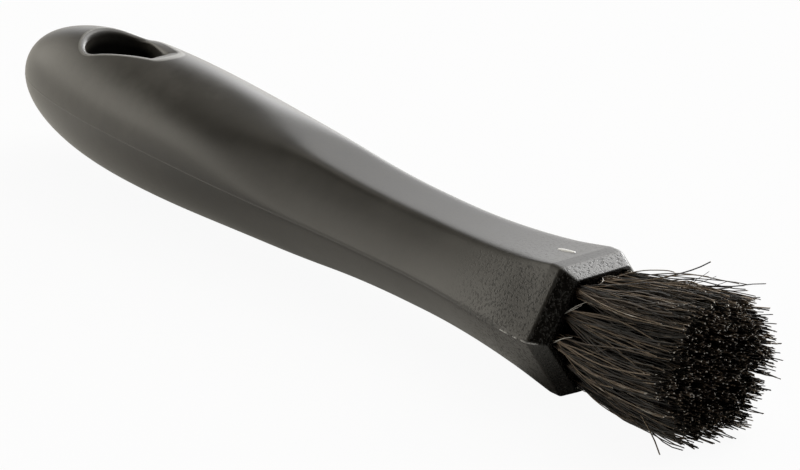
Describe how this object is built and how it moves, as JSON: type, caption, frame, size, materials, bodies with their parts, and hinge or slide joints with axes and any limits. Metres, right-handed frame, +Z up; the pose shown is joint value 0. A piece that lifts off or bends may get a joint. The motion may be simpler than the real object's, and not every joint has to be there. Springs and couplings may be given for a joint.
{
  "type": "pipe brush",
  "caption": "Hand brush with a thick round-ended plastic handle, a hanging slot, a slim neck and a hexagonal head that holds a bundle of natural bristle tufts.",
  "frame": {"origin": "on the resting plane, under the middle of the brush's overall length and width", "axes": "+X along the brush toward the bristle tips, +Z up; the brush lies on the bottom flat of its head and on its grip, with the hanging slot's mouths facing up and down"},
  "size_m": [0.26, 0.036, 0.0352],
  "materials": {
    "black_plastic": "satin moulded, with a fine grain near the head",
    "dark_hair": "natural hair, low sheen",
    "anchor_steel": "drawn flat wire"
  },
  "bodies": {
    "root": {"handle": "black_plastic", "bristle_tuft_01": "dark_hair", "bristle_tuft_02": "dark_hair", "bristle_tuft_03": "dark_hair", "bristle_tuft_04": "dark_hair", "bristle_tuft_05": "dark_hair", "bristle_tuft_06": "dark_hair", "bristle_tuft_07": "dark_hair", "bristle_tuft_08": "dark_hair", "bristle_tuft_09": "dark_hair", "bristle_tuft_10": "dark_hair", "bristle_tuft_11": "dark_hair", "bristle_tuft_12": "dark_hair", "bristle_tuft_13": "dark_hair", "bristle_tuft_14": "dark_hair", "bristle_tuft_15": "dark_hair", "bristle_tuft_16": "dark_hair", "bristle_tuft_17": "dark_hair", "bristle_tuft_18": "dark_hair", "bristle_tuft_19": "dark_hair", "wire_anchor_01": "anchor_steel", "wire_anchor_02": "anchor_steel", "wire_anchor_03": "anchor_steel", "wire_anchor_04": "anchor_steel", "wire_anchor_05": "anchor_steel", "wire_anchor_06": "anchor_steel", "wire_anchor_07": "anchor_steel", "wire_anchor_08": "anchor_steel", "wire_anchor_09": "anchor_steel", "wire_anchor_10": "anchor_steel", "wire_anchor_11": "anchor_steel", "wire_anchor_12": "anchor_steel", "wire_anchor_13": "anchor_steel", "wire_anchor_14": "anchor_steel", "wire_anchor_15": "anchor_steel", "wire_anchor_16": "anchor_steel", "wire_anchor_17": "anchor_steel", "wire_anchor_18": "anchor_steel", "wire_anchor_19": "anchor_steel"}
  },
  "joints": []
}
